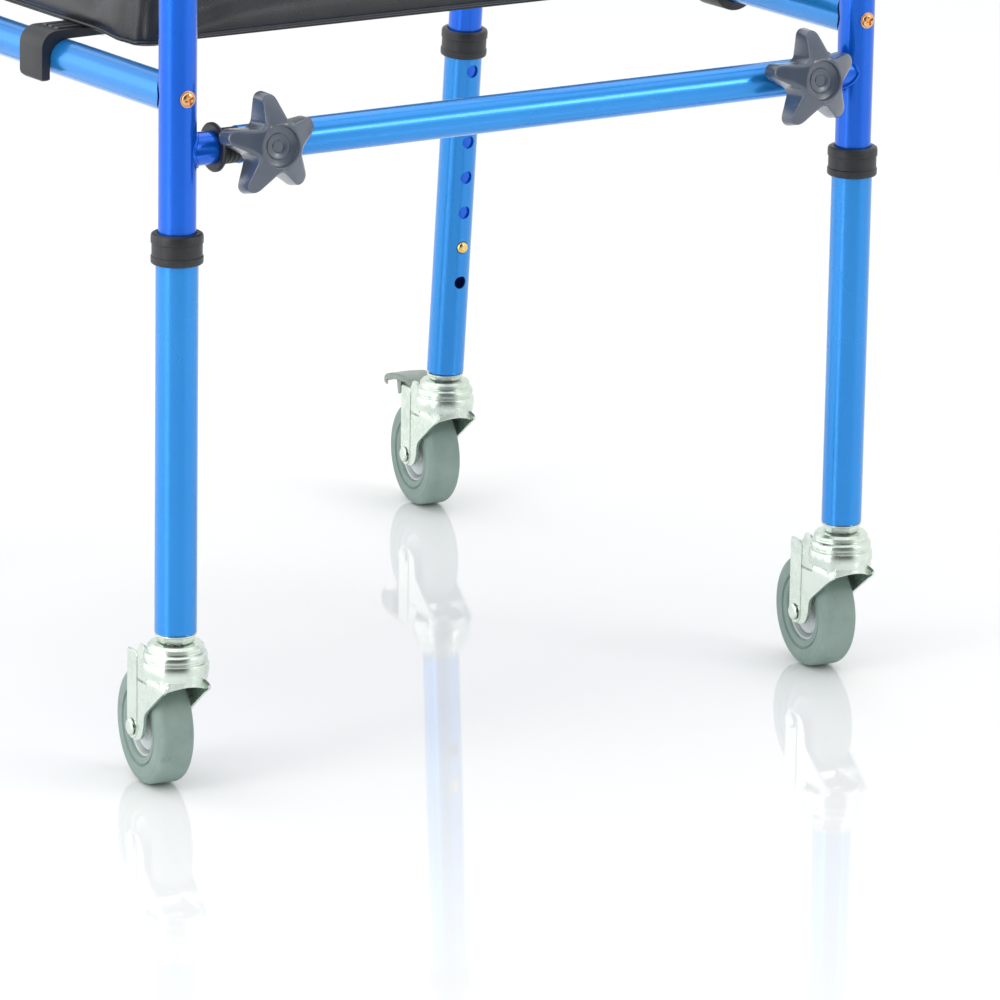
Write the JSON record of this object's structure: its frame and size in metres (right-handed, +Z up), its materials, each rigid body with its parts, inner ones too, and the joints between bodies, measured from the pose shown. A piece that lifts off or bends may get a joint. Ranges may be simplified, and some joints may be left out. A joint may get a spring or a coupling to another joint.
{
  "type": "walking frame",
  "caption": "Tubular walking frame on swivel castors, with telescopic legs, knob-fastened crossbars, side handgrips and a padded seat that flips up on one side rail.",
  "frame": {"origin": "middle of the footprint at floor level", "axes": "+Z up, the crossbars and knobs are at the front, which faces -Y, +X is the user-facing right side"},
  "size_m": [0.6042, 0.6484, 0.8798],
  "materials": {
    "blue_lacquer": "metallic blue lacquer, glossy",
    "charcoal_plastic": "charcoal moulded plastic",
    "knob_plastic": "dark blue-grey satin plastic",
    "bright_zinc": "bright zinc plate",
    "yellow_zinc": "yellow zinc plate",
    "brass": "polished brass",
    "grey_rubber": "grey-green rubber",
    "white_plastic": "white moulded plastic",
    "seat_board": "black painted board",
    "black_vinyl": "black upholstery vinyl",
    "grip_foam": "black ribbed grip"
  },
  "bodies": {
    "frame": {"left_side_frame": "blue_lacquer", "left_side_rail": "blue_lacquer", "left_handgrip": "grip_foam", "left_front_rail_screw": "yellow_zinc", "left_rear_rail_screw": "yellow_zinc", "left_lower_crossbar_bush": "charcoal_plastic", "left_upper_crossbar_bush": "charcoal_plastic", "right_side_frame": "blue_lacquer", "right_side_rail": "blue_lacquer", "right_handgrip": "grip_foam", "right_front_rail_screw": "yellow_zinc", "right_rear_rail_screw": "yellow_zinc", "right_lower_crossbar_bush": "charcoal_plastic", "right_upper_crossbar_bush": "charcoal_plastic", "lower_crossbar": "blue_lacquer", "upper_crossbar": "blue_lacquer"},
    "left_lower_knob": {"left_lower_star_knob": "knob_plastic"},
    "left_upper_knob": {"left_upper_star_knob": "knob_plastic"},
    "left_front_leg": {"left_front_lower_leg": "blue_lacquer", "left_front_leg_collar": "charcoal_plastic", "left_front_castor_stem": "bright_zinc"},
    "left_front_button": {"left_front_snap_button": "brass"},
    "left_front_fork": {"left_front_castor_fork": "bright_zinc", "left_front_castor_axle": "bright_zinc"},
    "left_front_wheel": {"left_front_castor_tyre": "grey_rubber", "left_front_castor_hub": "white_plastic"},
    "left_rear_leg": {"left_rear_lower_leg": "blue_lacquer", "left_rear_leg_collar": "charcoal_plastic", "left_rear_castor_stem": "bright_zinc"},
    "left_rear_button": {"left_rear_snap_button": "brass"},
    "left_rear_fork": {"left_rear_castor_fork": "bright_zinc", "left_rear_castor_axle": "bright_zinc"},
    "left_rear_wheel": {"left_rear_castor_tyre": "grey_rubber", "left_rear_castor_hub": "white_plastic"},
    "left_rear_pedal": {"left_rear_brake_pedal": "bright_zinc"},
    "right_lower_knob": {"right_lower_star_knob": "knob_plastic"},
    "right_upper_knob": {"right_upper_star_knob": "knob_plastic"},
    "right_front_leg": {"right_front_lower_leg": "blue_lacquer", "right_front_leg_collar": "charcoal_plastic", "right_front_castor_stem": "bright_zinc"},
    "right_front_button": {"right_front_snap_button": "brass"},
    "right_front_fork": {"right_front_castor_fork": "bright_zinc", "right_front_castor_axle": "bright_zinc"},
    "right_front_wheel": {"right_front_castor_tyre": "grey_rubber", "right_front_castor_hub": "white_plastic"},
    "right_rear_leg": {"right_rear_lower_leg": "blue_lacquer", "right_rear_leg_collar": "charcoal_plastic", "right_rear_castor_stem": "bright_zinc"},
    "right_rear_button": {"right_rear_snap_button": "brass"},
    "right_rear_fork": {"right_rear_castor_fork": "bright_zinc", "right_rear_castor_axle": "bright_zinc"},
    "right_rear_wheel": {"right_rear_castor_tyre": "grey_rubber", "right_rear_castor_hub": "white_plastic"},
    "right_rear_pedal": {"right_rear_brake_pedal": "bright_zinc"},
    "seat": {"seat_board": "seat_board", "seat_pad": "black_vinyl", "front_seat_hook": "charcoal_plastic", "rear_seat_hook": "charcoal_plastic", "front_seat_hinge_clip": "charcoal_plastic", "rear_seat_hinge_clip": "charcoal_plastic"}
  },
  "joints": [
    {"name": "left_lower_knob_turn", "type": "hinge", "parent": "frame", "child": "left_lower_knob", "pos_m": [-0.22359, -0.28408, 0.4427], "axis": [0, -0.9936, 0.1132], "range_deg": [0, 360]},
    {"name": "left_upper_knob_turn", "type": "hinge", "parent": "frame", "child": "left_upper_knob", "pos_m": [-0.22359, -0.28408, 0.703], "axis": [0, -0.9936, 0.1132], "range_deg": [0, 360]},
    {"name": "left_front_leg_slide", "type": "slide", "parent": "frame", "child": "left_front_leg", "axis": [0, 0, 1], "range_m": [-0.14, 0.028]},
    {"name": "left_front_button_press", "type": "slide", "parent": "frame", "child": "left_front_button", "axis": [0, -1, 0], "range_m": [0, 0.0045], "stiffness_N_per_m": 800, "springref_m": -0.002},
    {"name": "left_front_castor_swivel", "type": "hinge", "parent": "left_front_leg", "child": "left_front_fork", "pos_m": [-0.27959, -0.28408, 0.093], "axis": [0, 0, 1], "continuous": true},
    {"name": "left_front_wheel_spin", "type": "hinge", "parent": "left_front_fork", "child": "left_front_wheel", "pos_m": [-0.27486, -0.25041, 0.0405], "axis": [0.9903, -0.1392, 0], "continuous": true},
    {"name": "left_rear_leg_slide", "type": "slide", "parent": "frame", "child": "left_rear_leg", "axis": [0, -0.0746, 0.9972], "range_m": [-0.14, 0.028]},
    {"name": "left_rear_button_press", "type": "slide", "parent": "frame", "child": "left_rear_button", "axis": [0, 0.9972, 0.0746], "range_m": [0, 0.0045], "stiffness_N_per_m": 800, "springref_m": -0.002},
    {"name": "left_rear_castor_swivel", "type": "hinge", "parent": "left_rear_leg", "child": "left_rear_fork", "pos_m": [-0.27959, 0.23097, 0.093], "axis": [0, 0, 1], "continuous": true},
    {"name": "left_rear_wheel_spin", "type": "hinge", "parent": "left_rear_fork", "child": "left_rear_wheel", "pos_m": [-0.27486, 0.26464, 0.0405], "axis": [0.9903, -0.1392, 0], "continuous": true},
    {"name": "left_rear_pedal_press", "type": "hinge", "parent": "left_rear_fork", "child": "left_rear_pedal", "pos_m": [-0.27486, 0.26464, 0.095], "axis": [0.9903, -0.1392, 0], "range_deg": [-8, 0]},
    {"name": "right_lower_knob_turn", "type": "hinge", "parent": "frame", "child": "right_lower_knob", "pos_m": [0.21841, -0.28408, 0.4427], "axis": [0, -0.9936, 0.1132], "range_deg": [0, 360]},
    {"name": "right_upper_knob_turn", "type": "hinge", "parent": "frame", "child": "right_upper_knob", "pos_m": [0.21841, -0.28408, 0.703], "axis": [0, -0.9936, 0.1132], "range_deg": [0, 360]},
    {"name": "right_front_leg_slide", "type": "slide", "parent": "frame", "child": "right_front_leg", "axis": [0, 0, 1], "range_m": [-0.14, 0.028]},
    {"name": "right_front_button_press", "type": "slide", "parent": "frame", "child": "right_front_button", "axis": [0, -1, 0], "range_m": [0, 0.0045], "stiffness_N_per_m": 800, "springref_m": -0.002},
    {"name": "right_front_castor_swivel", "type": "hinge", "parent": "right_front_leg", "child": "right_front_fork", "pos_m": [0.27441, -0.28408, 0.093], "axis": [0, 0, 1], "continuous": true},
    {"name": "right_front_wheel_spin", "type": "hinge", "parent": "right_front_fork", "child": "right_front_wheel", "pos_m": [0.27914, -0.25041, 0.0405], "axis": [0.9903, -0.1392, 0], "continuous": true},
    {"name": "right_rear_leg_slide", "type": "slide", "parent": "frame", "child": "right_rear_leg", "axis": [0, -0.0746, 0.9972], "range_m": [-0.14, 0.028]},
    {"name": "right_rear_button_press", "type": "slide", "parent": "frame", "child": "right_rear_button", "axis": [0, 0.9972, 0.0746], "range_m": [0, 0.0045], "stiffness_N_per_m": 800, "springref_m": -0.002},
    {"name": "right_rear_castor_swivel", "type": "hinge", "parent": "right_rear_leg", "child": "right_rear_fork", "pos_m": [0.27441, 0.23097, 0.093], "axis": [0, 0, 1], "continuous": true},
    {"name": "right_rear_wheel_spin", "type": "hinge", "parent": "right_rear_fork", "child": "right_rear_wheel", "pos_m": [0.27914, 0.26464, 0.0405], "axis": [0.9903, -0.1392, 0], "continuous": true},
    {"name": "right_rear_pedal_press", "type": "hinge", "parent": "right_rear_fork", "child": "right_rear_pedal", "pos_m": [0.27914, 0.26464, 0.095], "axis": [0.9903, -0.1392, 0], "range_deg": [-8, 0]},
    {"name": "seat_flip", "type": "hinge", "parent": "frame", "child": "seat", "pos_m": [0.27441, -0.28408, 0.4798], "axis": [0, 1, 0], "range_deg": [0, 75]}
  ]
}
